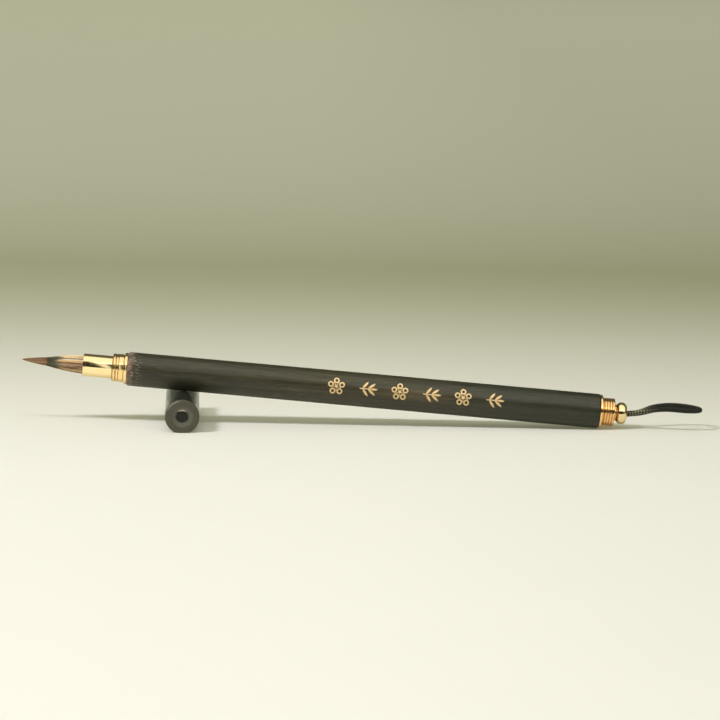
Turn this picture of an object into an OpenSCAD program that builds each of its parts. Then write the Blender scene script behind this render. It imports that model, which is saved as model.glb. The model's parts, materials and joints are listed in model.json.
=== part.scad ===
// Calligraphy brush for small regular script: an ebony handle with ringed brass
// collars, a screw-in ferrule that holds a layered tuft of hair, a screw-in bead
// finial with a hanging loop, and a pull-off cap that lies under the handle as a rest.
//
// The brush leans on the cap. Its axis lies in the XZ plane, head at -X and tail at +X.
// The origin is on the table, on the cap's flat foot, under the point where the two cross.
// Every piece of the brush is drawn along +X, with x = 0 at the handle's head face.

/* [Handle] */
// Diameter of the handle at its tail
handle_tail_d = 11; // [10.8:0.1:12]
// Diameter of the handle at its head
handle_head_d = 10.75; // [10.5:0.05:12]
// Length of the wooden handle
handle_l = 151; // [140:0.1:180]
// Chamfer on both ends of the handle
handle_chamfer = 0.45; // [0.2:0.05:0.5]
// Distance from the handle's head face to where it crosses the cap
overhang = 17.6; // [14:0.1:30]

/* [Head] */
// Outside diameter of the smooth ferrule
ferrule_d = 7.2; // [7:0.1:7.6]
// Length of the ferrule in front of its collar
ferrule_l = 9.3; // [8:0.1:12]
// Wall of the ferrule's tube
ferrule_wall = 0.4; // [0.3:0.05:0.45]
// Length of hair in front of the ferrule
hair_l = 19.5; // [16:0.1:24]

/* [Collars] */
// Outside diameter over the rings, where the cap slides on
ring_d = 9; // [8.8:0.1:9.2]
// Diameter of the head collar's flange
head_flange_d = 10; // [9.6:0.1:10.5]
// Diameter of the tail collar's flange
tail_flange_d = 10.7; // [10:0.1:10.8]
// Number of rings on the head collar
head_rings = 2; // [2:1:3]
// Number of rings on the tail collar
tail_rings = 4; // [3:1:4]

/* [Finial and cord] */
// Diameter of the finial's bead
bead_d = 7; // [6.4:0.1:7.2]
// Length of the finial's bead
bead_l = 3.6; // [3.4:0.1:4]
// Diameter of the braided cord
cord_d = 1.6; // [1.4:0.1:1.6]

/* [Cap] */
// Outside diameter of the cap
cap_d = 10.8; // [10.8:0.1:12]
// Length of the cap
cap_l = 41.5; // [38:0.5:50]
// Thickness of the cap's closed end
cap_end = 3; // [2.5:0.1:4]
// Diameter of the vent hole in the closed end
vent_d = 3.5; // [3:0.1:4.4]
// Depth of the flat along the cap's underside, which keeps it from rolling
foot_depth = 0.4; // [0.2:0.05:0.45]
// Turn of the cap away from square to the handle
cap_turn = 1.6; // [0:0.1:20]
// Length of cap in front of the handle's axis
cap_front = 18; // [16:0.1:24]

/* [Ornament] */
// Size of one gilt ornament
motif_size = 6; // [5:0.1:6.6]
// Distance from one ornament to the next
motif_pitch = 10.1; // [8:0.1:12]
// Distance from the handle's head face to the first ornament
motif_start = 66.5; // [50:0.1:80]
// Depth of the engraving
motif_depth = 0.3; // [0.2:0.05:0.4]

/* [Hidden] */
$fn = 96;

far = 60;            // longer than any solid that is cut away
past = 1;            // how far a cutter reaches past the face it opens
sliver = 0.01;       // the same, where the cutter's own outline tapers
seat_gap = 0.05;     // gap between two pieces that seat on each other
fit_gap = 0.05;      // radial clearance of a thread or a cap on its seat

// Handle sockets, which hold the collars' glued shanks
shank_r = 3.75;
shank_l = 11;
shank_floor = 2;     // solid end of a shank, past its threaded hole
socket_gap = 0.5;    // room for glue past the end of a shank

// Threads, drawn as rings because mating pieces slide through each other's pitch
thread_r = 2.7;
thread_pitch = 1;
thread_depth = 0.35;
thread_form = [0.08, 0.32, 0.45, 0.69]; // along one pitch: flank, crest, end of crest, end of flank
head_thread_l = 5;
tail_thread_l = 4;

// Collar lengths, measured outwards from the handle's end face
ring_r = ring_d / 2;
ring_depth = 0.2;
overlap = 0.05;      // how far two joined solids of one piece reach into each other
head_ring_pitch = 0.95;
flange_l = 1;
flange_round = 0.35; // rounding of the head flange's edges
groove_l = 0.25;
band_l = 1.4;
shoulder_l = 0.15;
head_collar_l = flange_l + groove_l + band_l + head_rings * head_ring_pitch + shoulder_l;
tail_ring_pitch = 0.83;
tail_flange_l = 0.6;
tail_flange_round = 0.2;
tail_cone_l = 0.75;
tail_collar_l = tail_flange_l + tail_cone_l + tail_rings * tail_ring_pitch;

// Ferrule and tuft, measured from the handle's head face towards the tip
ferrule_r = ferrule_d / 2;
ferrule_bore_r = ferrule_r - ferrule_wall;
ferrule_base = head_collar_l + seat_gap;
ferrule_floor_l = 1.2;
ferrule_floor = ferrule_base + ferrule_floor_l;
mouth = ferrule_base + ferrule_l;
glue_l = 1.5;
root_start = ferrule_floor + glue_l;
tip = mouth + hair_l;
glue_gap = 0.03;     // gap between the glue and the ferrule's bore
binding_wire_r = 0.15;
binding_turns = 13;
binding_pitch = 1.8 * binding_wire_r;
binding_start = root_start + 0.4;
binding_sink = 0.01; // how far the hair presses out between the turns of thread

// Finial
neck_r = 2.45;
neck_l = 0.5;
cord_hole_r = 1.75;
finial_seat = handle_l + tail_collar_l + seat_gap;
finial_face = finial_seat + neck_l + bead_l;
knot_r = 1.55;
knot_turn_r = 1.45;  // radius of each of the knot's turns of cord
knot_lean = 25;      // how far the turns lean apart

// Cap
cap_r = cap_d / 2;
cap_bore_r = 4.1;
liner_r = 4.9;
liner_l = 5;
liner_sink = 0.1;    // how far the liner stops short of the mouth
liner_bore_r = ring_r + fit_gap;
cap_rim = 0.5;
dish_r = 3.7;
dish_depth = 0.5;
vent_bevel = 0.35;   // chamfer round the vent, at the bottom of the dish
mouth_bevel = 0.2;   // chamfer on the outside of the cap's mouth
cap_axis_z = cap_r - foot_depth;

// How the brush leans: its lower end corner is on the table and its side is on the cap
tail_r = handle_tail_d / 2;
head_r = handle_head_d / 2;
function handle_r(x) = head_r + (tail_r - head_r) * x / handle_l;
lean_gap = 0.05;
lean_length = handle_l - handle_chamfer - overhang;
function axis_height(tilt) =
    cap_axis_z + (handle_r(overhang) + cap_r + lean_gap) * sqrt(1 + pow(tan(tilt) / cos(cap_turn), 2));
function settled(tilt, steps) =
    steps == 0 ? tilt
    : settled(asin((axis_height(tilt) - tail_r * cos(tilt)) / lean_length), steps - 1);
tilt = settled(4, 8);
lean_height = axis_height(tilt);
motif_roll = 14;     // the ornaments face the writer's side and slightly upwards
motif_count = 6;
gilt_sink = 0.04;    // how far the gilding lies below the wood

// Route of one half of the hanging loop from the finial's face: along, out, up
half_loop = [
    [-8.5, 0.85, 0], [-6, 0.85, 0], [-3, 0.85, 0], [0, 0.85, 0], [1.5, 0.85, 0.2], [3, 0.95, 0.45],
    [4.6, 1.35, 0.9], [6.5, 2.1, 1.65], [8.4, 2.75, 2.4], [10.4, 3.3, 2.85], [12.3, 3.8, 3.15],
    [14.2, 4.3, 3.3], [16.2, 4.6, 3.35], [18, 4.6, 3.35], [19.6, 4.25, 3.35], [21, 3.55, 3.35],
    [22.2, 2.5, 3.35], [23, 1.3, 3.35], [23.3, 0, 3.35]
];
back = [for (i = [len(half_loop) - 2:-1:0]) [half_loop[i].x, -half_loop[i].y, half_loop[i].z]];
loop_route = concat(half_loop, back);
tube_sides = 8;

function unit(v) = v / norm(v);
function along(route, i) = unit(route[min(i + 1, len(route) - 1)] - route[max(i - 1, 0)]);

// Places what is drawn along the brush's own axis
module on_brush() {
    translate([0, 0, lean_height]) rotate([0, tilt, 0]) translate([-overhang, 0, 0]) children();
}

// Turns an outline of radius against length about the X axis, from x = start towards +X
module turned(start) {
    translate([start, 0, 0]) rotate([0, 90, 0]) rotate_extrude() children();
}

// The same, but with the length running towards -X
module turned_back(start) {
    translate([start, 0, 0]) rotate([0, -90, 0]) rotate_extrude() children();
}

// Outline of a disc with a rounded edge
module round_edge(r, length, round_r) {
    square([r - round_r, length]);
    translate([0, round_r]) square([r, length - 2 * round_r]);
    for (y = [round_r, length - round_r]) translate([r - round_r, y]) circle(round_r, $fn = 48);
}

// Outline of a row of rounded rings, each one pitch long
module rings(count, r, pitch, depth) {
    square([r - depth, count * pitch]);
    for (i = [0:count - 1])
        translate([r - pitch / 2, (i + 0.5) * pitch]) circle(pitch / 2, $fn = 48);
}

// Outline of a thread's spigot with rings in place of the helix
module thread_spigot(length) {
    square([thread_r - thread_depth, length]);
    for (i = [0:floor(length / thread_pitch) - 1]) translate([0, i * thread_pitch])
        polygon([
            [0, 0], [thread_r - thread_depth, thread_form[0]], [thread_r, thread_form[1]],
            [thread_r, thread_form[2]], [thread_r - thread_depth, thread_form[3]], [0, thread_pitch]
        ]);
}

// A round bar along +X
module bar(start, end, r) {
    translate([start, 0, 0]) rotate([0, 90, 0]) cylinder(h = end - start, r = r);
}

// Five petals round a stamen, drawn on the XY plane
module blossom(size) {
    petal_r = size * 0.155;
    stamen_w = size * 0.036;
    for (i = [0:4]) rotate(90 + 72 * i) translate([size * 0.31, 0]) difference() {
        circle(petal_r, $fn = 32);
        circle(petal_r * 0.5, $fn = 24);
    }
    circle(size * 0.085, $fn = 24);
    for (i = [0:4]) rotate(54 + 72 * i) translate([size * 0.06, -stamen_w / 2])
        square([size * 0.2, stamen_w]);
}

// A pointed leaf from the origin along +X, as the overlap of two circles
module leaf(length, width) {
    bow_r = (length * length / 4 + width * width / 4) / width;
    intersection() {
        translate([length / 2, bow_r - width / 2]) circle(bow_r);
        translate([length / 2, width / 2 - bow_r]) circle(bow_r);
    }
}

// A bamboo sprig: a stem with leaves in pairs
module sprig(size) {
    stem_w = size * 0.06;
    translate([-size * 0.45, -stem_w / 2]) square([size * 0.62, stem_w]);
    for (side = [-1, 1]) {
        translate([-size * 0.3, 0]) rotate(side * 52) leaf(size * 0.5, size * 0.13);
        translate([-size * 0.02, 0]) rotate(side * 38) leaf(size * 0.52, size * 0.13);
    }
    translate([size * 0.1, 0]) leaf(size * 0.42, size * 0.12);
}

// The ornaments as bars that cross the handle's near side
module ornament_cutters() {
    inner_end = head_r / 2;
    rotate([-motif_roll, 0, 0]) for (i = [0:motif_count - 1])
        translate([motif_start + i * motif_pitch, -inner_end, 0]) rotate([90, 0, 0])
            linear_extrude(height = head_r) if (i % 2 == 0) blossom(motif_size); else sprig(motif_size);
}

// The handle's tapered stick, a little thinner where inset is more than 0
module stick(inset) {
    turned(0) polygon([
        [0, 0], [head_r - handle_chamfer - inset, 0], [head_r - inset, handle_chamfer],
        [tail_r - inset, handle_l - handle_chamfer], [tail_r - handle_chamfer - inset, handle_l],
        [0, handle_l]
    ]);
}

// The engraving, down to its floor
module engraving() {
    difference() {
        ornament_cutters();
        bar(0, handle_l, handle_r(motif_start) - motif_depth);
    }
}

module handle() {
    color("#2b2622") on_brush() difference() {
        stick(0);
        bar(-past, shank_l + socket_gap, shank_r);
        bar(handle_l - shank_l - socket_gap, handle_l + past, shank_r);
        engraving();
    }
}

module gilt_ornament() {
    color("#d8a659") on_brush() intersection() {
        engraving();
        stick(gilt_sink);
    }
}

module head_collar() {
    groove_start = flange_l - overlap;
    band_start = flange_l + groove_l;
    rings_start = band_start + band_l;
    rings_end = rings_start + head_rings * head_ring_pitch;
    color("#d9b45a") on_brush() difference() {
        union() {
            turned_back(0) round_edge(head_flange_d / 2, flange_l, flange_round);
            turned_back(-groove_start) square([ring_r - ring_depth, groove_l + 2 * overlap]);
            turned_back(-band_start) square([ring_r, band_l]);
            turned_back(-rings_start) rings(head_rings, ring_r, head_ring_pitch, ring_depth);
            turned_back(-rings_end) square([ring_r - ring_depth, shoulder_l]);
            bar(0, shank_l, shank_r);
        }
        bar(-head_collar_l - past, shank_l - shank_floor, thread_r + fit_gap);
    }
}

module ferrule() {
    lip_r = 0.12;
    color("#e0bd66") on_brush() union() {
        difference() {
            turned_back(-ferrule_base) union() {
                square([ferrule_r, ferrule_l - lip_r]);
                square([ferrule_r - lip_r, ferrule_l]);
                translate([ferrule_r - lip_r, ferrule_l - lip_r]) circle(lip_r, $fn = 48);
            }
            bar(-mouth - past, -ferrule_floor, ferrule_bore_r);
        }
        turned(-ferrule_base) thread_spigot(head_thread_l);
    }
}

module root_glue() {
    color("#6b3a1c") on_brush()
        bar(seat_gap - root_start, -ferrule_floor - seat_gap, ferrule_bore_r - glue_gap);
}

// Radius of the bound root, and of the hair where it leaves the ferrule
root_r = ferrule_bore_r - fit_gap - 2 * binding_wire_r;
mouth_r = ferrule_bore_r - 2 * fit_gap;
core_root_r = 1.3;
belly_root_r = 2.1;
layer_edge = 0.1;    // thickness of a hair layer at its front edge
point_r = 0.08;      // radius of the tuft's point

// Outside of the tuft: share of the hair's length in front of the ferrule, share of its radius there
tuft_outline = [[0, 0.93], [0.15, 0.86], [0.34, 0.73], [0.58, 0.465], [0.8, 0.275], [1, 0]];

// A point of the tuft's outline, measured from the hair's root
function tuft_point(i, inset = 0) =
    [tuft_outline[i].y * mouth_r - inset, mouth - root_start + tuft_outline[i].x * hair_l];

module root_binding() {
    color("#b5322b") on_brush() difference() {
        turned_back(-binding_start) for (i = [0:binding_turns - 1])
            translate([root_r + binding_wire_r, (i + 0.5) * binding_pitch])
                circle(binding_wire_r, $fn = 24);
        bar(-far, 0, root_r + binding_sink);
    }
}

module hair_core() {
    point = tip - root_start - point_r;
    color("#6e3b28") on_brush() turned_back(-root_start) union() {
        polygon([
            [0, 0], [core_root_r, 0], [core_root_r, mouth - root_start], tuft_point(3, layer_edge),
            tuft_point(4), [point_r, point], [0, point]
        ]);
        translate([0, point]) intersection() {
            circle(point_r, $fn = 24);
            translate([0, -point_r]) square([point_r, 2 * point_r]);
        }
    }
}

module hair_belly() {
    color("#33302c") on_brush() turned_back(-root_start) polygon([
        [core_root_r, 0], [belly_root_r, 0], [belly_root_r, mouth - root_start],
        tuft_point(2, layer_edge), tuft_point(3), tuft_point(3, layer_edge),
        [core_root_r, mouth - root_start]
    ]);
}

module hair_mantle() {
    neck = binding_start - root_start + (binding_turns + 1) * binding_pitch;
    color("#b98a5a") on_brush() turned_back(-root_start) polygon([
        [belly_root_r, 0], [root_r, 0], [root_r, neck], tuft_point(0), tuft_point(1),
        tuft_point(2), tuft_point(2, layer_edge), [belly_root_r, mouth - root_start]
    ]);
}

module tail_collar() {
    cone_start = tail_flange_l - tail_flange_round;
    cone_end = tail_cone_l + tail_flange_round;
    cone_r = tail_flange_d / 2 - tail_flange_round;
    color("#d9b45a") on_brush() translate([handle_l, 0, 0]) difference() {
        union() {
            turned(0) round_edge(tail_flange_d / 2, tail_flange_l, tail_flange_round);
            turned(cone_start) polygon([
                [0, 0], [cone_r, 0], [cone_r, tail_flange_round],
                [ring_r - ring_depth, cone_end], [0, cone_end]
            ]);
            turned(tail_flange_l + tail_cone_l) rings(tail_rings, ring_r, tail_ring_pitch, ring_depth);
            bar(-shank_l, 0, shank_r);
        }
        bar(shank_floor - shank_l, tail_collar_l + past, thread_r + fit_gap);
    }
}

module finial() {
    bead_round_r = bead_l / 2;
    bead_core_r = bead_d / 2 - bead_round_r;
    color("#e0bd66") on_brush() translate([finial_seat, 0, 0]) difference() {
        union() {
            turned(0) union() {
                square([neck_r, neck_l + bead_round_r / 2]);
                translate([0, neck_l]) square([bead_core_r, bead_l]);
                translate([0, neck_l]) intersection() {
                    translate([bead_core_r, bead_round_r]) circle(bead_round_r, $fn = 64);
                    square([bead_d / 2, bead_l]);
                }
            }
            turned_back(0) thread_spigot(tail_thread_l);
        }
        bar(-tail_thread_l - past, neck_l + bead_l + past, cord_hole_r);
    }
}

// A tube of flat-sided rings, one at each point of the route
module tube(route, r) {
    rows = [for (i = [0:len(route) - 1])
        let (t = along(route, i), side = unit(cross(t, [0, 0, 1])), up = cross(side, t))
        [for (k = [0:tube_sides - 1]) let (a = 360 * (k + 0.5) / tube_sides)
            route[i] + r * (cos(a) * side + sin(a) * up)]];
    last = (len(route) - 1) * tube_sides;
    polyhedron(
        points = [for (row = rows) each row],
        faces = concat(
            [[for (k = [0:tube_sides - 1]) k]],
            [for (i = [0:len(route) - 2]) for (k = [0:tube_sides - 1])
                let (a = i * tube_sides + k, b = i * tube_sides + (k + 1) % tube_sides)
                each [[a, a + tube_sides, b], [b, a + tube_sides, b + tube_sides]]],
            [[for (k = [tube_sides - 1:-1:0]) last + k]]
        )
    );
}

module cord_loop() {
    color("#1d1b1a") on_brush() translate([finial_face, 0, 0]) tube(loop_route, cord_d / 2);
}

// The knot that stops the cord behind the finial: three turns drawn tight
module cord_knot() {
    color("#1d1b1a") on_brush() translate([finial_face + half_loop[0].x - knot_r, 0, 0]) union() {
        bar(-knot_r / 2, knot_r, knot_r);
        for (lean = [-knot_lean, 0, knot_lean]) rotate([0, 90 + lean, 0]) rotate_extrude()
            translate([knot_turn_r, 0]) circle(cord_d / 2, $fn = 32);
    }
}

// Places what is drawn along the cap's own axis, from its closed end at y = 0 to its mouth
module on_cap() {
    translate([0, 0, cap_axis_z]) rotate([0, 0, cap_turn]) translate([0, -cap_front, 0]) children();
}

// Turns an outline of radius against length about the Y axis, from y = start towards +Y
module turned_y(start) {
    translate([0, start, 0]) rotate([-90, 0, 0]) rotate_extrude() children();
}

module cap() {
    vent_r = vent_d / 2;
    bevel_r = vent_r + vent_bevel;
    color("#35322c") on_cap() difference() {
        turned_y(0) union() {
            square([cap_r - cap_rim, cap_l - mouth_bevel]);
            translate([0, cap_rim]) square([cap_r, cap_l - cap_rim - mouth_bevel]);
            translate([cap_r - cap_rim, cap_rim]) circle(cap_rim, $fn = 48);
            translate([0, cap_l - mouth_bevel])
                polygon([[0, 0], [cap_r, 0], [cap_r - mouth_bevel, mouth_bevel], [0, mouth_bevel]]);
        }
        turned_y(cap_end) square([cap_bore_r, cap_l]);
        turned_y(cap_l - liner_l) square([liner_r, cap_l]);
        turned_y(-past) square([vent_r, cap_end + 2 * past]);
        turned_y(-sliver) polygon([[0, 0], [dish_r, 0], [bevel_r, dish_depth], [0, dish_depth]]);
        turned_y(dish_depth - 2 * sliver)
            polygon([[0, 0], [bevel_r, 0], [vent_r, vent_bevel], [0, vent_bevel]]);
        translate([-far / 2, -past, -cap_axis_z - far]) cube([far, cap_l + 2 * past, far]);
    }
}

module cap_liner() {
    color("#d9b45a") on_cap() difference() {
        turned_y(cap_l - liner_l) square([liner_r, liner_l - liner_sink]);
        turned_y(cap_l - liner_l - past) square([liner_bore_r, liner_l + 2 * past]);
    }
}

handle();
gilt_ornament();
head_collar();
ferrule();
root_glue();
root_binding();
hair_core();
hair_belly();
hair_mantle();
tail_collar();
finial();
cord_loop();
cord_knot();
cap();
cap_liner();
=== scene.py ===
import json
import math
import random

import bmesh
import bpy
from mathutils import Matrix, Quaternion, Vector


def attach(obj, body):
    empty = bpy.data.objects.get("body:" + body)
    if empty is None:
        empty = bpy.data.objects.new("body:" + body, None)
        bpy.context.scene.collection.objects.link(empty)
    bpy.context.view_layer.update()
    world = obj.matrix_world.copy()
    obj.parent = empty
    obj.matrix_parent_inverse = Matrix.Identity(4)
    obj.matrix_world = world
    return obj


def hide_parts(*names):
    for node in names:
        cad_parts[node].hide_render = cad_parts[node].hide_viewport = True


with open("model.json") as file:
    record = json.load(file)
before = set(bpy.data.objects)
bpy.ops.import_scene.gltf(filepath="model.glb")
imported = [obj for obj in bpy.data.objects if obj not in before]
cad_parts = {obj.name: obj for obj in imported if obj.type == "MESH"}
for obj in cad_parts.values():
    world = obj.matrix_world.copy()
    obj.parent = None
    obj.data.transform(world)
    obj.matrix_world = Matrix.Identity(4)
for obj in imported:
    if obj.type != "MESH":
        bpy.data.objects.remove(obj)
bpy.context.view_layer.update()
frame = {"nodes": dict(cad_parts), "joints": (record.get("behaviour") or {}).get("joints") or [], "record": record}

# Looks of the calligraphy brush. World places are in metres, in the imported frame.
# Pieces are drawn in millimetres in a place of their own: X runs along the piece, Z is up.
# On the brush, x = 0 is the handle's head face and x grows towards the tail.
# On the cap, x = 0 is the closed end and x grows towards the mouth.
MM = 0.001
UP = Vector((0, 0, 1))
JOINTS = {j["name"]: j for j in frame["joints"]}
MOUNTS = {m["name"]: m for m in frame["record"]["mounts"]}


# ------------------------------------------------------------------ places

def place_of(origin, along):
    """A place in metres at origin, whose X runs along a piece and whose Z is its upper side."""
    x = along.normalized()
    y = UP.cross(x).normalized()
    turn = Matrix((x, y, x.cross(y))).transposed().to_4x4()
    return Matrix.Translation(origin) @ turn


def measure(node, place):
    """Start, end and largest radius of a CAD node in a place, in millimetres."""
    back = place.inverted()
    points = [back @ v.co / MM for v in frame["nodes"][node].data.vertices]
    xs = [p.x for p in points]
    return min(xs), max(xs), max(math.hypot(p.y, p.z) for p in points)


def started_at(node, point, along):
    """The place whose origin is a node's start, on the axis through point."""
    start = measure(node, place_of(point, along))[0]
    return place_of(point + along.normalized() * start * MM, along)


BRUSH = started_at("handle", Vector(JOINTS["tail_turn"]["pos_m"]), Vector(JOINTS["tail_turn"]["axis"]))
CAP = started_at("cap", Vector(MOUNTS["cap_vent"]["pos_m"]), -Vector(JOINTS["cap_slide"]["axis"]))

HANDLE_L = measure("handle", BRUSH)[1]
MOUTH, FERRULE_END, FERRULE_R = measure("ferrule", BRUSH)
HEAD_COLLAR_START, HEAD_SHANK_END, HEAD_FLANGE_R = measure("head_collar", BRUSH)
TAIL_SHANK_START, TAIL_COLLAR_END, TAIL_FLANGE_R = measure("tail_collar", BRUSH)
FINIAL_START, FINIAL_FACE, BEAD_R = measure("finial", BRUSH)
HAIR_TIP = measure("hair_core", BRUSH)[0]
CAP_L = measure("cap", CAP)[1]
LINER_START, LINER_END, LINER_R = measure("cap_liner", CAP)

# Sizes shared with the CAD pieces, in millimetres
SEAT_GAP = 0.05
SHANK_R = 3.75
SHANK_FLOOR = 2.0
THREAD_R = 2.7
THREAD_PITCH = 1.0
THREAD_DEPTH = 0.35
THREAD_FIT = 0.05
RING_R = 4.5
RING_DEPTH = 0.2
HEAD_FLANGE_L = 1.0
HEAD_GROOVE_L = 0.25
HEAD_BAND_L = 1.4
HEAD_RINGS = 2
HEAD_RING_PITCH = 0.95
TAIL_FLANGE_L = 0.6
TAIL_CONE_L = 0.75
TAIL_RINGS = 4
TAIL_RING_PITCH = 0.83
NECK_R = 2.45
NECK_L = 0.5
FERRULE_BORE_R = 3.2
FERRULE_FLOOR = 1.2
CORD_HOLE_R = 1.75
CAP_R = 5.4
CAP_BORE_R = 4.1
CAP_END = 3.0
DISH_R = 3.7
DISH_DEPTH = 0.5
VENT_R = 1.75

# Details that only the looks have, in millimetres
NUT_DEPTH = 0.3       # depth of the thread inside a collar
NUT_LEAD = 0.4        # from a collar's open end to its thread
THREAD_LEAD = 0.3     # from a spigot's end to its thread, and a collar's chamfer
THREAD_RELIEF = 0.15  # from a spigot's thread to its seat
THREAD_FADE = 0.5     # length over which a thread rises to its full depth
HEAD_CENTRE_R = 1.2   # centre hole in the closed end of the head collar's shank
TAIL_CENTRE_R = 1.9   # centre hole in the closed end of the tail collar's shank


# ------------------------------------------------------------------ camera

def add_camera():
    """A hand-held long lens about a metre away, 9 degrees above the table, rolled by a degree."""
    data = bpy.data.cameras.new("camera")
    data.sensor_width = 36
    data.lens = 160
    data.clip_start = 0.05
    camera = bpy.data.objects.new("camera", data)
    bpy.context.scene.collection.objects.link(camera)
    camera.location = (0.0312, -1.0053, 0.1799)
    heading, drop, roll = math.radians(1.432), math.radians(8.979), math.radians(0.965)
    forward = Vector((
        math.cos(drop) * math.sin(heading),
        math.cos(drop) * math.cos(heading),
        -math.sin(drop),
    ))
    camera.rotation_mode = "QUATERNION"
    camera.rotation_quaternion = forward.to_track_quat("-Z", "Y") @ Quaternion((0, 0, 1), roll)
    bpy.context.scene.camera = camera
    bpy.context.scene.view_settings.view_transform = "Standard"


add_camera()


# ------------------------------------------------------------------ material tools

class Look:
    """A material under construction: its nodes, and short ways to add and join them."""

    def __init__(self, name):
        self.material = bpy.data.materials.new(name)
        self.material.use_nodes = True
        self.tree = self.material.node_tree
        self.shader = self.tree.nodes["Principled BSDF"]

    def node(self, kind, inputs=(), **settings):
        """Adds a node, sets its properties, and sets or joins its inputs by name or number."""
        made = self.tree.nodes.new("ShaderNode" + kind)
        for key, value in settings.items():
            setattr(made, key, value)
        for key, value in dict(inputs).items():
            if isinstance(value, bpy.types.NodeSocket):
                self.tree.links.new(value, made.inputs[key])
            else:
                made.inputs[key].default_value = value
        return made

    def local(self, place):
        """Coordinates in millimetres in a place, which stay on the piece as it moves."""
        source = self.node("TexCoord").outputs["Object"]
        mapped = self.node("Mapping", {"Vector": source}, vector_type="TEXTURE")
        mapped.inputs["Location"].default_value = place.translation
        mapped.inputs["Rotation"].default_value = place.to_euler()
        mapped.inputs["Scale"].default_value = (MM, MM, MM)
        return mapped.outputs["Vector"]

    def scaled(self, vector, scale):
        """A vector with each of its parts multiplied."""
        return self.node("VectorMath", {0: vector, 1: scale}, operation="MULTIPLY").outputs[0]

    def noise(self, vector, scale, detail=3.0, rough=0.55):
        """Noise from 0 to 1 that is stretched by a scale for each direction."""
        made = self.node("TexNoise", {
            "Vector": self.scaled(vector, scale), "Scale": 1.0, "Detail": detail, "Roughness": rough,
        })
        return made.outputs["Fac"]

    def ramp(self, value, stops, ease="LINEAR"):
        """Colours or greys at places from 0 to 1."""
        made = self.node("ValToRGB", {"Fac": value})
        made.color_ramp.interpolation = ease
        points = made.color_ramp.elements
        while len(points) < len(stops):
            points.new(0.5)
        for point, (at, tone) in zip(points, stops):
            point.position = at
            point.color = (*tone, 1) if isinstance(tone, tuple) else (tone, tone, tone, 1)
        return made.outputs["Color"]

    def span(self, value, low, high, to_low=0.0, to_high=1.0, ease="LINEAR"):
        """A value carried from one range to another and kept inside it."""
        made = self.node("MapRange", {
            "Value": value, "From Min": low, "From Max": high, "To Min": to_low, "To Max": to_high,
        }, interpolation_type=ease)
        return made.outputs["Result"]

    def math(self, operation, a, b=0.0):
        """One step of arithmetic."""
        return self.node("Math", {0: a, 1: b}, operation=operation).outputs[0]

    def times(self, *values):
        """The product of some values."""
        product = values[0]
        for value in values[1:]:
            product = self.math("MULTIPLY", product, value)
        return product

    def mix(self, share, a, b, blend="MIX"):
        """Two colours mixed by a share."""
        made = self.node("Mix", {"Factor": share, 6: a, 7: b}, data_type="RGBA", blend_type=blend)
        return made.outputs[2]

    def parts(self, vector):
        """The three parts of a vector."""
        return self.node("SeparateXYZ", {0: vector}).outputs

    def across(self, vector):
        """Distance from a place's X axis."""
        flat = self.scaled(vector, (0, 1, 1))
        return self.node("VectorMath", {0: flat}, operation="LENGTH").outputs["Value"]

    def bump(self, height, distance, strength=1.0):
        """Fine relief, with its height in millimetres."""
        made = self.node("Bump", {"Height": height, "Distance": distance * MM, "Strength": strength})
        self.join(made.outputs["Normal"], "Normal")

    def join(self, value, socket):
        """Joins a value or colour to the shader."""
        self.tree.links.new(value, self.shader.inputs[socket])

    def set(self, **values):
        """Sets the shader's plain numbers and colours, with _ for a space in a name."""
        for key, value in values.items():
            self.shader.inputs[key.replace("_", " ")].default_value = value


def opaque(r, g, b):
    """A colour for a socket that wants four numbers."""
    return (r, g, b, 1)


# ------------------------------------------------------------------ materials

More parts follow.
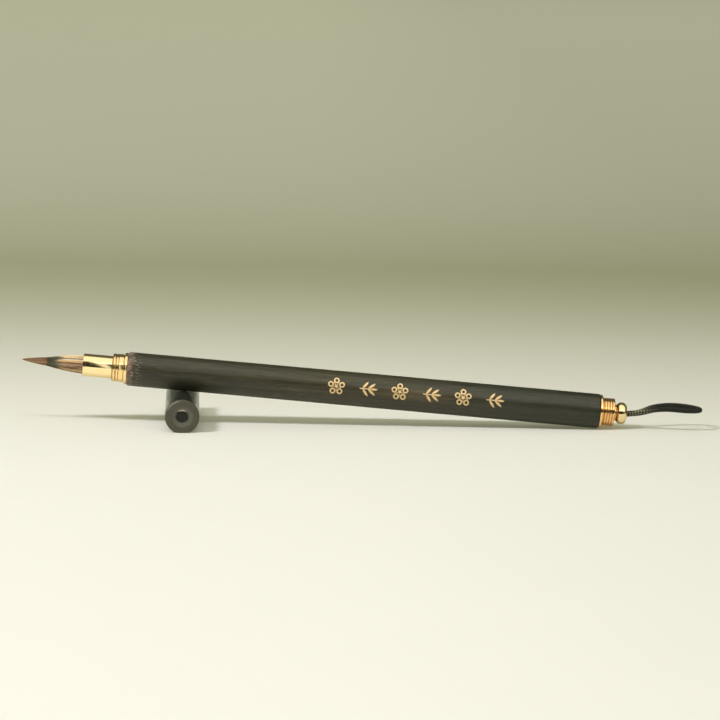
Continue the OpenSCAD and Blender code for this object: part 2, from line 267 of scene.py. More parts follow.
def ebony_look():
    """Waxed dark hardwood: long fibres, fine pores, a brown patch at mid-length, a worn head end."""
    look = Look("ebony")
    at = look.local(BRUSH)
    x, _, z = look.parts(at)
    fibre = look.noise(at, (0.045, 1.1, 1.1), 5, 0.62)
    streak = look.noise(at, (0.09, 3.4, 3.4), 4, 0.6)
    pore = look.noise(at, (0.5, 9.0, 9.0), 2, 0.5)
    tone = look.ramp(fibre, [
        (0.30, (0.006, 0.006, 0.003)), (0.47, (0.016, 0.016, 0.008)),
        (0.58, (0.026, 0.023, 0.012)), (0.74, (0.058, 0.047, 0.024)),
    ])
    tone = look.mix(look.span(streak, 0.35, 0.7, 0.0, 0.55), tone, opaque(0.014, 0.014, 0.010))
    thread = look.noise(at, (0.16, 4.2, 4.2), 3, 0.6)
    tone = look.mix(look.span(thread, 0.56, 0.70, 0.0, 0.55), tone, opaque(0.085, 0.076, 0.046))
    warmth = look.ramp(look.span(x, 0, HANDLE_L), [
        (0.0, (1.15, 1.1, 1.0)), (0.22, (1.0, 1.0, 0.95)), (0.42, (1.5, 1.3, 1.0)),
        (0.62, (1.2, 1.1, 0.95)), (0.85, (0.8, 0.86, 0.85)), (1.0, (0.6, 0.7, 0.7)),
    ])
    tone = look.mix(1.0, tone, warmth, "MULTIPLY")
    brown = look.times(
        look.span(x, 72, 90), look.span(x, 108, 94),
        look.span(z, -1.6, 0.2), look.span(z, 2.6, 1.0),
        look.span(fibre, 0.35, 0.55, 0.5, 1.0),
    )
    tone = look.mix(look.times(brown, 0.7), tone, opaque(0.115, 0.088, 0.042))
    tone = look.mix(look.span(pore, 0.40, 0.30, 0.0, 0.7), tone, opaque(0.004, 0.004, 0.003))
    patchy = look.noise(at, (0.6, 0.6, 0.6), 3)
    worn_end = look.times(look.span(x, 2.6, 0.5), look.span(patchy, 0.32, 0.6))
    tone = look.mix(worn_end, tone, opaque(0.21, 0.13, 0.095))
    scratched = look.noise(at, (1.0, 2.2, 2.2), 4)
    scuffs = look.times(look.span(x, 5.5, 1.5), look.span(scratched, 0.57, 0.63))
    tone = look.mix(look.times(scuffs, 0.7), tone, opaque(0.36, 0.31, 0.23))
    look.join(tone, "Base Color")
    look.join(look.span(streak, 0.3, 0.7, 0.33, 0.48), "Roughness")
    look.bump(look.math("ADD", look.span(pore, 0.30, 0.40), look.times(fibre, 0.6)), 0.02, 0.6)
    look.set(IOR=1.58, Specular_Tint=opaque(1.0, 0.98, 0.86))
    return look.material


def gilt_look():
    """Gold leaf paint pressed into the engraving: grainy, with rubbed thin spots."""
    look = Look("gilt")
    at = look.local(BRUSH)
    grain = look.noise(at, (7.0, 7.0, 7.0), 4, 0.7)
    rubbed = look.noise(at, (2.2, 2.2, 2.2), 3)
    tone = look.ramp(grain, [
        (0.3, (0.45, 0.27, 0.10)), (0.5, (0.82, 0.58, 0.28)), (0.7, (0.95, 0.74, 0.42)),
    ])
    tone = look.mix(look.span(rubbed, 0.62, 0.75, 0.0, 0.6), tone, opaque(0.20, 0.12, 0.05))
    look.join(tone, "Base Color")
    look.join(look.span(grain, 0.3, 0.7, 0.34, 0.6), "Roughness")
    look.bump(grain, 0.03, 0.7)
    look.set(Metallic=0.35)
    return look.material


def brass_look(name, place, base, groove_r=0.0, rough=0.10):
    """Polished brass with turning marks, faint stains and, where ringed, painted dark orange shade in the grooves.

    On the brush, a ringed piece past the handle's tail gets a painted orange reflection.
    """
    look = Look(name)
    at = look.local(place)
    turning = look.noise(at, (9.0, 0.12, 0.12), 3, 0.6)
    stain = look.noise(at, (0.55, 0.55, 0.55), 4, 0.6)
    tone = look.mix(look.span(stain, 0.45, 0.75, 0.0, 0.22), opaque(*base), opaque(0.85, 0.56, 0.22))
    if groove_r:
        tail_cone = HANDLE_L + TAIL_FLANGE_L
        # A painted orange reflection on the rings past the handle's tail
        orange_reflection = look.span(look.parts(at)["X"], tail_cone, tail_cone + 0.5, 0.0, 0.75)
        tone = look.mix(orange_reflection, tone, opaque(0.88, 0.52, 0.20))
        # Painted shade: the grooves between the rings are coloured dark orange
        low = look.span(look.across(at), groove_r - 0.14, groove_r - 0.03, 1.0, 0.0)
        tone = look.mix(look.times(low, 0.8), tone, opaque(0.50, 0.22, 0.06))
    look.join(tone, "Base Color")
    marks = look.span(turning, 0.3, 0.7, 0.0, 0.07)
    look.join(look.math("ADD", marks, look.span(stain, 0.4, 0.8, rough, rough + 0.1)), "Roughness")
    look.bump(turning, 0.004, 0.5)
    look.set(Metallic=1.0)
    return look.material


def resin_look():
    """Set rosin glue: amber, with a few trapped bubbles."""
    look = Look("resin")
    at = look.local(BRUSH)
    cloud = look.noise(at, (1.2, 1.2, 1.2), 3)
    look.join(look.ramp(cloud, [(0.3, (0.16, 0.06, 0.015)), (0.7, (0.42, 0.20, 0.06))]), "Base Color")
    look.join(look.span(cloud, 0.3, 0.7, 0.15, 0.4), "Roughness")
    look.bump(look.noise(at, (5, 5, 5), 2), 0.02, 0.5)
    return look.material


def silk_look():
    """Waxed red silk thread with a fine twist."""
    look = Look("silk_thread")
    at = look.local(BRUSH)
    twist = look.noise(at, (12, 5, 5), 3)
    look.join(look.ramp(twist, [(0.3, (0.22, 0.02, 0.02)), (0.7, (0.62, 0.12, 0.09))]), "Base Color")
    look.join(look.span(twist, 0.3, 0.7, 0.35, 0.6), "Roughness")
    look.bump(twist, 0.03, 0.6)
    return look.material


def hair_look(name):
    """Animal hair: each hair's own tone, with a soft gloss and a little mottling along it."""
    look = Look(name)
    own = look.node("Attribute", attribute_name="tone").outputs["Color"]
    mottle = look.noise(look.local(BRUSH), (1.4, 5.0, 5.0), 3)
    look.join(look.mix(look.span(mottle, 0.45, 0.75, 0.0, 0.25), own, opaque(0.05, 0.03, 0.02)), "Base Color")
    look.join(look.span(mottle, 0.3, 0.7, 0.34, 0.55), "Roughness")
    look.bump(mottle, 0.01, 0.4)
    return look.material


def cord_look():
    """Black braided nylon: fine filaments, and two rows of painted highlights, pale glints, near the bead."""
    look = Look("braided_cord")
    at = look.local(BRUSH)
    filament = look.noise(at, (6.0, 14.0, 14.0), 4, 0.7)
    run, _, height = look.parts(at)
    tone = look.ramp(filament, [(0.3, (0.004, 0.0035, 0.002)), (0.7, (0.014, 0.012, 0.008))])
    # Two rows of painted highlights: pale dots standing for glints where the strands cross, only near the bead
    middle = look.span(run, FINIAL_FACE + 1.5, FINIAL_FACE + 8.4, 0.2, 2.4)
    off = look.math("ABSOLUTE", look.math("SUBTRACT", height, middle))
    glint_rows = look.span(look.math("ABSOLUTE", look.math("SUBTRACT", off, 0.36)), 0.26, 0.12)
    glint_dots = look.span(look.math("SINE", look.times(run, 7.2)), -0.1, 0.4)
    near = look.span(run, FINIAL_FACE + 10, FINIAL_FACE + 5)
    tone = look.mix(look.times(glint_rows, glint_dots, near, 0.8), tone, opaque(0.36, 0.33, 0.20))
    look.join(tone, "Base Color")
    look.join(look.span(filament, 0.3, 0.7, 0.45, 0.7), "Roughness")
    look.bump(filament, 0.02, 0.7)
    look.set(Specular_IOR_Level=0.35)
    return look.material


def cap_look():
    """Black-stained wood with a dull wax: pores on the end, long grain on the side, a lighter ring in the dish,
    and painted sheen, highlights and shade.
    """
    look = Look("cap_wood")
    at = look.local(CAP)
    x, y, z = look.parts(at)
    radius = look.across(at)
    grain = look.noise(at, (0.12, 1.9, 1.9), 4, 0.6)
    pore = look.noise(at, (0.7, 7.5, 7.5), 3, 0.6)
    tone = look.ramp(grain, [
        (0.3, (0.012, 0.014, 0.010)), (0.5, (0.024, 0.026, 0.018)), (0.72, (0.044, 0.042, 0.029)),
    ])
    tone = look.mix(look.span(pore, 0.36, 0.28, 0.0, 0.7), tone, opaque(0.006, 0.006, 0.005))
    # The end face is painted lighter: its own end-grain tone with a painted sheen on top
    end = look.span(x, 0.9, 0.3)
    face = look.mix(look.span(pore, 0.3, 0.7), opaque(0.044, 0.042, 0.024), opaque(0.090, 0.084, 0.054))
    tone = look.mix(look.times(end, 0.85), tone, face)
    ring = look.times(look.span(radius, 3.6, 2.9), end)
    tone = look.mix(look.times(ring, 0.6), tone, opaque(0.135, 0.128, 0.092))
    # A painted highlight: a pale arc on the upper side of the front rim
    rim_highlight = look.times(
        look.span(radius, 4.75, 4.95), look.span(radius, 5.35, 5.2),
        look.span(z, 1.5, 3.0), look.span(y, 0.3, 1.8), end,
    )
    tone = look.mix(rim_highlight, tone, opaque(0.19, 0.185, 0.14))
    # Painted shade: inside the vent and the cavity the tone is near black and the specular is low
    inside = look.times(look.span(radius, 4.97, 4.93), look.span(x, 0.95, 1.2))
    tone = look.mix(inside, tone, opaque(0.006, 0.006, 0.004))
    # A painted glint: a pale patch on the upper lip of the vent
    lip_glint = look.times(
        look.span(radius, VENT_R + 0.6, VENT_R + 0.35), look.span(x, 1.0, 0.95), look.span(z, 1.6, 2.0),
    )
    tone = look.mix(lip_glint, tone, opaque(0.85, 0.80, 0.62))
    look.join(tone, "Base Color")
    side = look.span(grain, 0.3, 0.7, 0.16, 0.27)
    look.join(look.math("ADD", side, look.times(end, 0.25)), "Roughness")
    look.join(look.span(inside, 0, 1, 0.5, 0.05), "Specular IOR Level")
    look.bump(look.math("ADD", look.span(pore, 0.28, 0.4), look.times(grain, 0.5)), 0.015, 0.5)
    return look.material


# ------------------------------------------------------------------ mesh tools

def add_mesh(name, verts, faces, material, sharp=35):
    """A smooth-shaded object with edges kept sharp above an angle in degrees."""
    mesh = bpy.data.meshes.new(name)
    mesh.from_pydata([tuple(v) for v in verts], [], faces)
    tidy = bmesh.new()
    tidy.from_mesh(mesh)
    bmesh.ops.recalc_face_normals(tidy, faces=tidy.faces)
    tidy.to_mesh(mesh)
    tidy.free()
    mesh.shade_smooth()
    mesh.set_sharp_from_angle(angle=math.radians(sharp))
    mesh.materials.append(material)
    made = bpy.data.objects.new(name, mesh)
    bpy.context.scene.collection.objects.link(made)
    return made


def rounded(corners, steps=5):
    """An outline with its corners rounded: each corner is (x, radius, rounding)."""
    points = []
    for i, (x, r, rounding) in enumerate(corners):
        here = Vector((x, r))
        before = Vector(corners[i - 1][:2]) - here
        after = Vector(corners[(i + 1) % len(corners)][:2]) - here
        if rounding <= 0:
            points.append((x, r))
            continue
        cut = min(rounding, before.length * 0.49, after.length * 0.49)
        a = here + before.normalized() * cut
        b = here + after.normalized() * cut
        for k in range(steps + 1):
            t = k / steps
            p = a * (1 - t) ** 2 + here * 2 * t * (1 - t) + b * t * t
            points.append((p.x, p.y))
    return points


def ring_row(start, count, pitch, towards):
    """Outline points of a row of rounded rings that begins at start and runs +1 or -1."""
    bead = pitch / 2
    low = math.asin((bead - RING_DEPTH) / bead)
    points = []
    for i in range(count):
        middle = start + towards * (i + 0.5) * pitch
        for k in range(9):
            a = math.pi - low - (math.pi - 2 * low) * k / 8
            points.append((middle + towards * bead * math.cos(a), RING_R - bead + bead * math.sin(a)))
    return points


def thread_run(start, end, r):
    """Outline points close enough together along a thread to carry its helix."""
    count = max(2, round(abs(end - start) / 0.07))
    return [(start + (end - start) * k / count, r) for k in range(count + 1)]


def thread_wave(start, end, r, depth):
    """Depth of a V thread at (x, angle), fading in and out at its ends. depth < 0 cuts inwards."""
    low, high = min(start, end), max(start, end)

    def wave(x, radius, angle):
        if abs(radius - r) > 1e-6 or not low < x < high:
            return 0
        fade = min(1, (x - low) / THREAD_FADE, (high - x) / THREAD_FADE)
        turn = (x / THREAD_PITCH - angle / (2 * math.pi)) % 1
        return -depth * fade * abs(2 * turn - 1)

    return wave


def lathe(name, place, outline, material, segments=128, wave=None, shape=None, sharp=35):
    """A closed outline of (x, radius) in mm, turned about a place's X axis."""
    verts, rows = [], []
    for x, r in outline:
        if r < 1e-6:
            rows.append([len(verts)])
            verts.append(Vector((x, 0, 0)))
            continue
        rows.append([len(verts) + k for k in range(segments)])
        for k in range(segments):
            angle = 2 * math.pi * k / segments
            size = r + (wave(x, r, angle) if wave else 0)
            verts.append(Vector((x, size * math.cos(angle), size * math.sin(angle))))
    faces = []
    for i, a in enumerate(rows):
        b = rows[(i + 1) % len(rows)]
        for k in range(segments):
            n = (k + 1) % segments
            if len(a) > 1 and len(b) > 1:
                faces.append((a[k], a[n], b[n], b[k]))
            elif len(a) > 1:
                faces.append((a[k], a[n], b[0]))
            elif len(b) > 1:
                faces.append((a[0], b[n], b[k]))
    verts = [place @ (v * MM) for v in verts]
    if shape:
        verts = [shape(v) for v in verts]
    return add_mesh(name, verts, faces, material, sharp)


def frames_along(points):
    """Direction, side and up at each point of a route, turning as little as possible."""
    count = len(points)
    tangents = [(points[min(i + 1, count - 1)] - points[max(i - 1, 0)]).normalized() for i in range(count)]
    side = tangents[0].cross(UP).normalized()
    made = []
    for i, t in enumerate(tangents):
        if i:
            side = (side - t * side.dot(t)).normalized()
        made.append((t, side, t.cross(side)))
    return made


def smooth_route(points, step):
    """A Catmull-Rom curve through given points, with points about step apart."""
    fine = []
    for i in range(len(points) - 1):
        p0, p1 = points[max(i - 1, 0)], points[i]
        p2, p3 = points[i + 1], points[min(i + 2, len(points) - 1)]
        for k in range(12):
            t = k / 12
            fine.append(0.5 * (2 * p1 + (p2 - p0) * t + (2 * p0 - 5 * p1 + 4 * p2 - p3) * t * t
                               + (3 * p1 - p0 - 3 * p2 + p3) * t ** 3))
    fine.append(points[-1])
    run = [0.0]
    for a, b in zip(fine, fine[1:]):
        run.append(run[-1] + (b - a).length)
    count = round(run[-1] / step)
    even, j = [], 0
    for k in range(count + 1):
        want = run[-1] * k / count
        while j < len(run) - 2 and run[j + 1] < want:
            j += 1
        share = (want - run[j]) / max(run[j + 1] - run[j], 1e-12)
        even.append(fine[j].lerp(fine[j + 1], min(1, share)))
    return even, run[-1]


def strand(verts, faces, line, sizes, sides=8):
    """Adds a closed tube of oval rings along a line: sizes gives each ring's two half widths."""
    first = len(verts)
    count = len(line)
    for (point, wide, thin), (w, h) in zip(line, sizes):
        for k in range(sides):
            a = 2 * math.pi * k / sides
            verts.append(point + wide * (w * math.cos(a)) + thin * (h * math.sin(a)))
    for i in range(count - 1):
        for k in range(sides):
            a = first + i * sides + k
            b = first + i * sides + (k + 1) % sides
            faces.append((a, b, b + sides, a + sides))
    faces.append(tuple(first + k for k in reversed(range(sides))))
    faces.append(tuple(first + (count - 1) * sides + k for k in range(sides)))


# ------------------------------------------------------------------ cord

# Route of one half of the hanging loop from the finial's face, in mm: along, out, up
HALF_LOOP = [
    (-8.5, 0.85, 0), (-6, 0.85, 0), (-3, 0.85, 0), (0, 0.85, 0), (1.5, 0.85, 0.2), (3, 0.95, 0.45),
    (4.6, 1.35, 0.9), (6.5, 2.1, 1.65), (8.4, 2.75, 2.4), (10.4, 3.3, 2.85), (12.3, 3.8, 3.15),
    (14.2, 4.3, 3.3), (16.2, 4.6, 3.35), (18, 4.6, 3.35), (19.6, 4.25, 3.35), (21, 3.55, 3.35),
    (22.2, 2.5, 3.35), (23, 1.3, 3.35), (23.3, 0, 3.35),
]


def braid(name, route, material):
    """Eight strands plaited round a core along a route in mm, four each way, over and under."""
    step = 0.12
    lay = 3.9
    middle_r = 0.58
    weave = 0.09
    half_w, half_t = 0.31, 0.15
    line, length = smooth_route(route, step)
    frames = frames_along(line)
    verts, faces = [], []
    core = [(p, side, up) for p, (_, side, up) in zip(line, frames)]
    strand(verts, faces, core[::3], [(0.50, 0.50)] * len(core[::3]))
    for way in (1, -1):
        for k in range(4):
            path = []
            for i, (p, (t, side, up)) in enumerate(zip(line, frames)):
                turn = 2 * math.pi * i * step / lay
                angle = way * turn + math.pi / 2 * k
                out = side * math.cos(angle) + up * math.sin(angle)
                r = middle_r + way * weave * math.cos(4 * turn)
                around = out.cross(t)
                lead = (t * lay + around * (-way) * 2 * math.pi * middle_r).normalized()
                path.append((p + out * r, lead.cross(out).normalized(), out))
            strand(verts, faces, path, [(half_w, half_t)] * len(path))
    made = add_mesh(name, [BRUSH @ (v * MM) for v in verts], faces, material, 60)
    return made, [BRUSH @ (p * MM) for p in line], length * MM


def overhand_knot(name, centre_x, material):
    """A knot drawn tight behind the finial: a trefoil of plaited cord."""
    size = 0.62
    points = []
    for i in range(97):
        a = 2 * math.pi * i / 96
        points.append(Vector((
            centre_x + 0.7 * math.sin(3 * a) * size,
            (math.sin(a) + 2 * math.sin(2 * a)) * size * 0.72,
            (math.cos(a) - 2 * math.cos(2 * a)) * size * 0.72,
        )))
    verts, faces = [], []
    frames = frames_along(points)
    for k in range(3):
        path = []
        for i, (p, (t, side, up)) in enumerate(zip(points, frames)):
            angle = 2 * math.pi * (i / 8 + k / 3)
            out = side * math.cos(angle) + up * math.sin(angle)
            path.append((p + out * 0.3, t.cross(out).normalized(), out))
        strand(verts, faces, path, [(0.36, 0.3)] * len(path))
    return add_mesh(name, [BRUSH @ (v * MM) for v in verts], faces, material, 60)


def add_cord():
    """The hanging loop, from the knot out of the finial, round and back."""
    material = cord_look()
    half = [Vector((FINIAL_FACE + along, out, up)) for along, out, up in HALF_LOOP]
    back = [Vector((p.x, -p.y, p.z)) for p in reversed(half[:-1])]
    loop, line, length = braid("hanging_loop", half + back, material)
    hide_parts("cord_loop")
    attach(loop, "tail_screw")
    knot_start, knot_end, _ = measure("cord_knot", BRUSH)
    knot = overhand_knot("loop_knot", (knot_start + knot_end) / 2, material)
    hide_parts("cord_knot")
    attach(knot, "tail_screw")


add_cord()


# ------------------------------------------------------------------ brass

def stands_for(piece, node, body):
    """Hides the CAD node that a new piece replaces, and attaches the piece to its body."""
    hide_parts(node)
    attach(piece, body)


POLISHED = (1.0, 0.80, 0.43)
RINGED = (0.98, 0.74, 0.37)


def add_ferrule():
    """Smooth tube with a rolled lip, a seat step and a threaded spigot."""
    base = HEAD_COLLAR_START - SEAT_GAP
    floor = base - FERRULE_FLOOR
    thread = (FERRULE_END - THREAD_LEAD, base + THREAD_RELIEF, THREAD_R)
    outline = [(FERRULE_END, 0), (FERRULE_END, THREAD_R - 0.4)]
    outline += thread_run(*thread)
    outline += rounded([
        (base, THREAD_R - 0.2, 0), (base, FERRULE_R, 0.12), (MOUTH, FERRULE_R, 0.16),
        (MOUTH, FERRULE_BORE_R, 0.16), (floor, FERRULE_BORE_R, 0.1), (floor, 0, 0),
    ])
    material = brass_look("polished_brass", BRUSH, POLISHED, rough=0.07)
    wave = thread_wave(*thread, THREAD_DEPTH)
    ferrule = lathe("ferrule_tube", BRUSH, outline, material, 144, wave)
    stands_for(ferrule, "ferrule", "head")
    return material


def add_head_collar(material):
    """Flange, groove, band and fine rings, on a shank that is glued into the handle."""
    flange = HEAD_FLANGE_R
    groove_start = -HEAD_FLANGE_L
    band_start = groove_start - HEAD_GROOVE_L
    rings_start = band_start - HEAD_BAND_L
    rings_end = rings_start - HEAD_RINGS * HEAD_RING_PITCH
    bore = THREAD_R + THREAD_FIT
    bore_end = HEAD_SHANK_END - SHANK_FLOOR
    thread = (HEAD_COLLAR_START + NUT_LEAD, bore_end, bore)
    low_r = RING_R - RING_DEPTH
    outline = rounded([
        (HEAD_SHANK_END, THREAD_R, 0), (HEAD_SHANK_END, SHANK_R, 0.2), (0, SHANK_R, 0),
        (0, flange, 0.22), (groove_start, flange, 0.35), (groove_start, low_r, 0.04),
        (band_start, low_r, 0.04), (band_start, RING_R, 0.12), (rings_start + 0.02, RING_R, 0.1),
    ])
    outline += ring_row(rings_start, HEAD_RINGS, HEAD_RING_PITCH, -1)
    outline += rounded([
        (rings_end, low_r, 0), (HEAD_COLLAR_START, low_r, 0.06),
        (HEAD_COLLAR_START, bore + THREAD_LEAD, 0.05), (HEAD_COLLAR_START + THREAD_LEAD, bore, 0),
    ])
    outline += thread_run(*thread)
    outline += [(bore_end, HEAD_CENTRE_R), (HEAD_SHANK_END, HEAD_CENTRE_R)]
    wave = thread_wave(*thread, -NUT_DEPTH)
    collar = lathe("head_collar_turned", BRUSH, outline, material, 144, wave)
    stands_for(collar, "head_collar", "brush_handle")


def add_tail_collar(material):
    """Thin flange, cone and fine rings, on a shank that is glued into the handle."""
    flange = TAIL_FLANGE_R
    flange_end = HANDLE_L + TAIL_FLANGE_L
    cone_end = flange_end + TAIL_CONE_L
    bore = THREAD_R + THREAD_FIT
    bore_start = TAIL_SHANK_START + SHANK_FLOOR
    thread = (TAIL_COLLAR_END - NUT_LEAD, bore_start, bore)
    low_r = RING_R - RING_DEPTH
    outline = rounded([
        (TAIL_SHANK_START, TAIL_CENTRE_R, 0), (TAIL_SHANK_START, SHANK_R, 0.2), (HANDLE_L, SHANK_R, 0),
        (HANDLE_L, flange, 0.18), (flange_end, flange, 0.2), (flange_end + 0.04, flange - 0.2, 0.05),
        (cone_end - 0.02, low_r, 0.1),
    ])
    outline += ring_row(cone_end, TAIL_RINGS, TAIL_RING_PITCH, 1)
    outline += rounded([
        (TAIL_COLLAR_END, low_r, 0.06), (TAIL_COLLAR_END, bore + THREAD_LEAD, 0.05),
        (TAIL_COLLAR_END - THREAD_LEAD, bore, 0),
    ])
    outline += thread_run(*thread)
    outline += [(bore_start, TAIL_CENTRE_R)]
    wave = thread_wave(*thread, -NUT_DEPTH)
    collar = lathe("tail_collar_turned", BRUSH, outline, material, 144, wave)
    stands_for(collar, "tail_collar", "brush_handle")


def add_finial(material):
    """Bead on a short neck, drilled for the cord, with a threaded spigot."""
    seat = TAIL_COLLAR_END + SEAT_GAP
    bead_start = seat + NECK_L
    bead = (FINIAL_FACE - bead_start) / 2
    thread = (FINIAL_START + THREAD_LEAD, seat - THREAD_RELIEF, THREAD_R)
    outline = [(FINIAL_START, CORD_HOLE_R), (FINIAL_START, THREAD_R - 0.4)]
    outline += thread_run(*thread)
    outline += [(seat, THREAD_R - 0.3), (seat, NECK_R), (bead_start, NECK_R)]
    for k in range(25):
        a = math.pi - math.pi * k / 24
        r = BEAD_R - bead + bead * math.sin(a)
        if r > CORD_HOLE_R and not (a > math.pi / 2 and r < NECK_R):
            outline.append((bead_start + bead + bead * math.cos(a), r))
    outline += [(FINIAL_FACE - 0.02, CORD_HOLE_R + 0.03), (FINIAL_FACE - 0.12, CORD_HOLE_R)]
    wave = thread_wave(*thread, THREAD_DEPTH)
    finial = lathe("finial_bead", BRUSH, outline, material, 144, wave)
    stands_for(finial, "finial", "tail_bead")


# ------------------------------------------------------------------ hair

# Outside of the tuft: share of the hair's length, share of the radius at the mouth
TUFT = [(0, 0.93), (0.15, 0.86), (0.34, 0.73), (0.58, 0.465), (0.8, 0.275), (0.93, 0.14), (1, 0.03)]
TUFT_R = 3.08
HAIR_L = MOUTH - HAIR_TIP
MANTLE_END, BELLY_END = 0.36, 0.58


def eased(t):
    """0 to 1 with soft ends."""
    t = max(0.0, min(1.0, t))
    return t * t * (3 - 2 * t)


def tuft_r(share):
    """Radius of the tuft at a share of its length, in mm."""
    share = max(0.0, min(1.0, share))
    for (a, ra), (b, rb) in zip(TUFT, TUFT[1:]):
        if share <= b:
            return TUFT_R * (ra + (rb - ra) * (share - a) / (b - a))
    return TUFT_R * TUFT[-1][1]


def hairs(count, root_share, end_share, spread, thickness, tones, seed, rise, inset):
    """Tapered hairs from inside the ferrule, in clumps, each with its own tone.

    root_share is how far out they sit at the mouth, and end_share how far along they end. Up to
    the share rise they lie under other hair, inside the tuft's outline by the share inset.
    """
    dice = random.Random(seed)
    clumps = 34
    clump_tone = [dice.choice(tones) for _ in range(clumps)]
    clump_end = [dice.gauss(0, spread * 0.6) for _ in range(clumps)]
    verts, faces, colours = [], [], []
    sides, rings = 4, 11
    for _ in range(count):
        clump = dice.randrange(clumps)
        angle = 2 * math.pi * (clump + dice.gauss(0.5, 0.30)) / clumps
        depth = root_share + (1 - root_share) * dice.random() ** 0.5
        end = min(0.995, end_share + clump_end[clump] + dice.gauss(0, spread))
        tone = clump_tone[clump] if dice.random() < 0.6 else dice.choice(tones)
        lightness = dice.uniform(0.75, 1.2)
        sway, phase = dice.uniform(-0.06, 0.06), dice.uniform(0, 6.3)
        line, sizes = [], []
        for i in range(rings):
            share = -0.06 + (end + 0.06) * i / (rings - 1)
            outer = tuft_r(share) * (1 - inset * (1 - eased((share - rise) / 0.12)))
            r = outer * (depth + (1 - depth) * 0.8 * eased(share / max(end_share, 0.01)))
            bend = angle + sway * math.sin(phase + 5 * share)
            point = Vector((MOUTH - share * HAIR_L, r * math.cos(bend), r * math.sin(bend)))
            out = Vector((0, math.cos(bend), math.sin(bend)))
            line.append((point, Vector((1, 0, 0)).cross(out), out))
            taper = thickness * (1 - 0.85 * eased((i / (rings - 1) - 0.45) / 0.55))
            sizes.append((taper, taper))
        strand(verts, faces, line, sizes, sides)
        for i in range(rings):
            fade = i / (rings - 1)
            shade = lightness * (0.8 + 0.35 * math.sin(phase + 3 * fade))
            colours += [tuple(c * shade for c in tone)] * sides
    return verts, faces, colours


def paint(piece, colours):
    """Stores each point's tone on the mesh."""
    layer = piece.data.color_attributes.new("tone", "FLOAT_COLOR", "POINT")
    for item, colour in zip(layer.data, colours):
        item.color = (*colour, 1)


def add_hair():
    """Three layers of hair, as they are dressed: a long brown core, dark belly and golden mantle."""
    brown = [(0.42, 0.24, 0.12), (0.32, 0.185, 0.10), (0.50, 0.30, 0.155), (0.24, 0.135, 0.07)]
    dark = [(0.065, 0.068, 0.034), (0.12, 0.12, 0.070), (0.045, 0.045, 0.022), (0.20, 0.195, 0.125)]
    gold = [(1.0, 0.60, 0.25), (1.0, 0.82, 0.50), (0.80, 0.38, 0.15), (0.20, 0.09, 0.04),
            (1.0, 0.68, 0.30), (1.0, 0.96, 0.82)]
    layers = [
        ("hair_core", "hair_brown", dict(
            count=1100, root_share=0.60, end_share=0.975, spread=0.03, thickness=0.055,
            tones=brown, seed=3, rise=0.52, inset=0.22)),
        ("hair_belly", "hair_dark", dict(
            count=1100, root_share=0.85, end_share=BELLY_END, spread=0.018, thickness=0.05,
            tones=dark, seed=5, rise=0.30, inset=0.11)),
        ("hair_mantle", "hair_gold", dict(
            count=1300, root_share=0.92, end_share=MANTLE_END, spread=0.06, thickness=0.05,
            tones=gold, seed=8, rise=0, inset=0)),
    ]
    for node, slot, shape in layers:
        verts, faces, colours = hairs(**shape)
        verts = [BRUSH @ (v * MM) for v in verts]
        piece = add_mesh(node + "_strands", verts, faces, hair_look(slot), 80)
        paint(piece, colours)
        stands_for(piece, node, "head")


def add_hair_body():
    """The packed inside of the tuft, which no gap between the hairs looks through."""
    packed = 0.76
    shares = (0, 0.08, 0.15, 0.25, 0.34, 0.46, 0.58, 0.7, 0.8, 0.9)
    outline = [(MOUTH + 6, 0), (MOUTH + 6, 1.2), (MOUTH + 1.5, 2.5)]
    outline += [(MOUTH - s * HAIR_L, packed * tuft_r(s)) for s in shares]
    outline += [(MOUTH - 0.96 * HAIR_L, 0)]
    body = lathe("hair_packed_root", BRUSH, outline, hair_look("hair_packed"), 64, sharp=60)
    colours = []
    for v in body.data.vertices:
        share = (MOUTH - (BRUSH.inverted() @ v.co).x / MM) / HAIR_L
        deep = eased((share - 0.3) / 0.3)
        colours.append((0.42 - 0.32 * deep, 0.22 - 0.14 * deep, 0.10 - 0.06 * deep))
    paint(body, colours)
    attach(body, "head")


# ------------------------------------------------------------------ cap

def on_table(v):
    """The flat along the cap's underside."""
    return Vector((v.x, v.y, max(v.z, 0.0)))


def add_cap():
    """Turned cap: dished and vented closed end, plain bore, a wider seat for its liner."""
    outline = rounded([
        (0, CAP_R, 0.5), (0, DISH_R, 0.12), (DISH_DEPTH, VENT_R + 0.4, 0.15),
        (DISH_DEPTH + 0.4, VENT_R, 0.1), (CAP_END, VENT_R, 0.1), (CAP_END, CAP_BORE_R, 0.15),
        (LINER_START, CAP_BORE_R, 0.1), (LINER_START, LINER_R + 0.01, 0), (CAP_L, LINER_R + 0.01, 0.1),
        (CAP_L, CAP_R, 0.22),
    ])
    longest = 1.5
    body = []
    for (x, r), (x2, r2) in zip(outline, outline[1:] + outline[:1]):
        body.append((x, r))
        pieces = int(abs(x2 - x) / longest)
        body += [(x + (x2 - x) * k / pieces, r + (r2 - r) * k / pieces) for k in range(1, pieces)]
    cap = lathe("cap_turned", CAP, body, cap_look(), 192, shape=on_table)
    stands_for(cap, "cap", "cap")


def add_cap_liner(material):
    """Thin brass ring in the cap's mouth, with a rolled edge."""
    outline = rounded([
        (LINER_START, LINER_R - 0.01, 0.05), (LINER_END, LINER_R - 0.01, 0.1),
        (LINER_END, RING_R + 0.05, 0.12), (LINER_START, RING_R + 0.05, 0.05),
    ])
    liner = lathe("cap_liner_ring", CAP, outline, material, 144)
    stands_for(liner, "cap_liner", "cap")


# ------------------------------------------------------------------ carried-over nodes

def dress(node, material):
    """Gives a CAD node a material of its own."""
    for slot in frame["nodes"][node].material_slots:
        slot.material = material


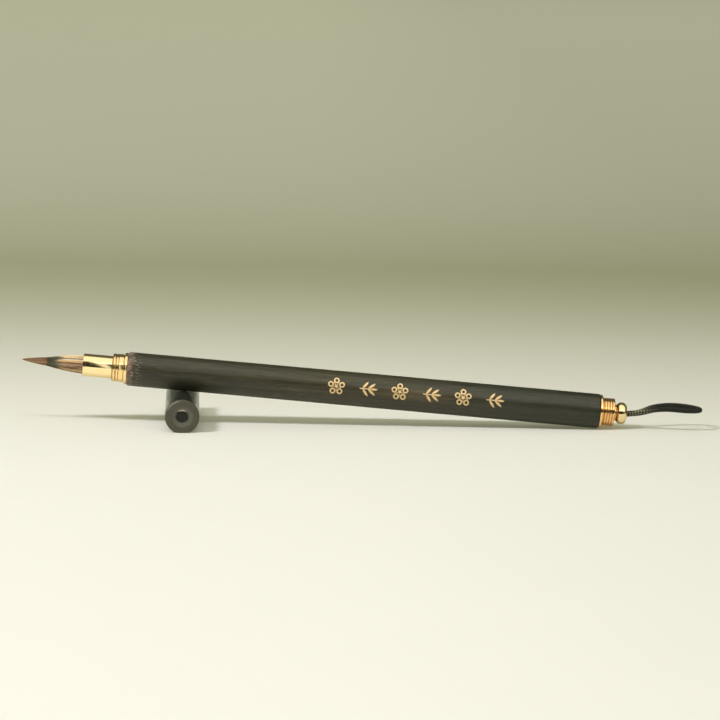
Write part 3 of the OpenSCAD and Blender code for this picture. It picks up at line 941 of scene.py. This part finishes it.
dress("handle", ebony_look())
dress("gilt_ornament", gilt_look())
dress("root_glue", resin_look())
dress("root_binding", silk_look())
polished = add_ferrule()
add_finial(polished)
ringed = brass_look("ring_brass", BRUSH, RINGED, groove_r=RING_R - 0.06, rough=0.12)
add_head_collar(ringed)
add_tail_collar(ringed)
add_cap_liner(brass_look("liner_brass", CAP, RINGED, rough=0.18))
add_cap()
add_hair_body()
add_hair()


# ------------------------------------------------------------------ floor and light

# Brightness of each light as a surface, and of the room around
KEY, STRIP, FILL, FRONT, LOW, BOUNCE, ROOM = 375, 12.0, 0.52, 1.06, 0.95, 0.17, 0.13
KEY_TINT, FILL_TINT = (1.0, 0.975, 1.05), (0.97, 1.0, 0.72)
CENTRE = Vector((0.06, 0.0, 0.01))  # what the lights point at
CARDS_Y = -0.085                    # the plane that the dark cards stand in

# The floor's drop below the table plane, so that no face of the object lies in the floor's own
FLOOR_DROP = 0.00003
FLOOR_HALF = 14
# The floor's tone round the object, where its painted shade is darkest, and far behind in place of a backdrop
NEAR_TONE, DARK_TONE, FAR_TONE = (0.72, 0.70, 0.65), (0.30, 0.30, 0.20), (0.80, 0.78, 0.71)
# Y in metres where the floor's painted shade starts, where it is darkest, and where the floor is palest again
DARKENS_AT, DARKEST_AT, PALEST_AT = -0.1, 0.4, 3.0


def add_floor():
    """One pale sheet with painted fall-off of light: painted darker behind the object, pale again far behind, and
    painted dimmer away from the key.
    """
    look = Look("floor")
    at = look.node("TexCoord").outputs["Object"]
    x, y, _ = look.parts(at)
    # Painted shade that darkens the floor behind the object
    behind = look.span(y, DARKENS_AT, DARKEST_AT, ease="SMOOTHSTEP")
    tone = look.mix(behind, opaque(*NEAR_TONE), opaque(*DARK_TONE))
    further = look.math("MAXIMUM", look.math("DIVIDE", y, DARKEST_AT), 1.0)
    paler = look.math("LOGARITHM", further, PALEST_AT / DARKEST_AT)
    tone = look.mix(paler, tone, opaque(*FAR_TONE))
    # Painted dimming away from the key light
    tone = look.mix(1.0, tone, look.span(x, 0.05, 0.25, 1.0, 0.92), "MULTIPLY")
    speck = look.noise(at, (30, 30, 30), 3)
    tone = look.mix(look.span(speck, 0.3, 0.7, 0.0, 0.03), tone, opaque(0.5, 0.5, 0.45))
    look.join(tone, "Base Color")
    look.bump(speck, 0.05, 0.1)
    look.set(Roughness=0.8, Specular_IOR_Level=0.2)
    half = FLOOR_HALF
    verts = [(-half, -half, 0), (half, -half, 0), (half, half, 0), (-half, half, 0)]
    floor = add_mesh("floor", verts, [(0, 1, 2, 3)], look.material)
    floor.location.z = -FLOOR_DROP


def add_panel(name, middle, target, width, height, radiance, tint):
    """A soft light panel that faces a target, with its brightness as a surface."""
    data = bpy.data.lights.new(name, "AREA")
    data.shape = "RECTANGLE"
    data.size = width
    data.size_y = height
    data.energy = radiance * math.pi * width * height
    data.color = tint
    panel = bpy.data.objects.new(name, data)
    bpy.context.scene.collection.objects.link(panel)
    panel.location = middle
    panel.rotation_mode = "QUATERNION"
    panel.rotation_quaternion = (Vector(target) - Vector(middle)).to_track_quat("-Z", "Y")
    panel.visible_camera = False
    return panel


def add_dark_card(name, corners):
    """A black card in front that only reflections see: the unlit side of the room."""
    look = Look(name)
    look.set(Base_Color=opaque(0.008, 0.007, 0.005), Roughness=1.0)
    verts = [(x, CARDS_Y, z) for x, z in corners]
    card = add_mesh(name, verts, [tuple(range(len(verts)))], look.material)
    card.visible_camera = False
    card.visible_diffuse = False
    card.visible_shadow = False
    card.visible_transmission = False


def add_light():
    """Lights that give the shading, panels that only shiny surfaces see, and a dim room."""
    # A key at the left, a long strip in front, and an overhead fill that casts no shadow
    key = add_panel("key", Vector((-1.04, -0.66, 1.25)), Vector((0, 0, 0)), 0.06, 0.30, KEY, KEY_TINT)
    strip = add_panel("strip", Vector((0.06, -0.66, 1.28)), CENTRE, 1.3, 0.1, STRIP, KEY_TINT)
    fill = add_panel("fill", CENTRE + Vector((0, 0.2, 1.6)), CENTRE, 8.0, 8.0, FILL, FILL_TINT)
    fill.data.use_shadow = False
    for light in (key, strip, fill):
        light.visible_glossy = False
    # Seen in the brass: above the cards, in the gap between them, and on the floor before the ferrule
    front = add_panel("front", CENTRE + Vector((-0.03, -0.245, 0.755)), CENTRE, 3.4, 1.15,
                      FRONT, (1.0, 0.99, 0.95))
    low = add_panel("low", CENTRE + Vector((0, -0.5, 0.24)), CENTRE, 2.4, 0.5,
                    LOW, (1.0, 0.98, 0.92))
    floor_spot = Vector((-0.042, -0.055, 0.0005))
    bounce = add_panel("bounce", floor_spot, floor_spot + UP, 0.05, 0.10,
                       BOUNCE, (0.95, 1.0, 0.95))
    for light in (front, low, bounce):
        light.visible_diffuse = False
    world = bpy.data.worlds.new("room")
    world.use_nodes = True
    background = world.node_tree.nodes["Background"]
    background.inputs["Color"].default_value = opaque(*FILL_TINT)
    background.inputs["Strength"].default_value = ROOM
    bpy.context.scene.world = world


add_floor()
add_dark_card("dark_card_left", [(-0.30, 0.008), (-0.0243, 0.008), (-0.0318, 0.112), (-0.30, 0.112)])
add_dark_card("dark_card_right", [
    (-0.0175, 0.012), (0.13, 0.004), (0.30, 0.004), (0.30, 0.050), (0.13, 0.050), (-0.0175, 0.085),
])
add_light()
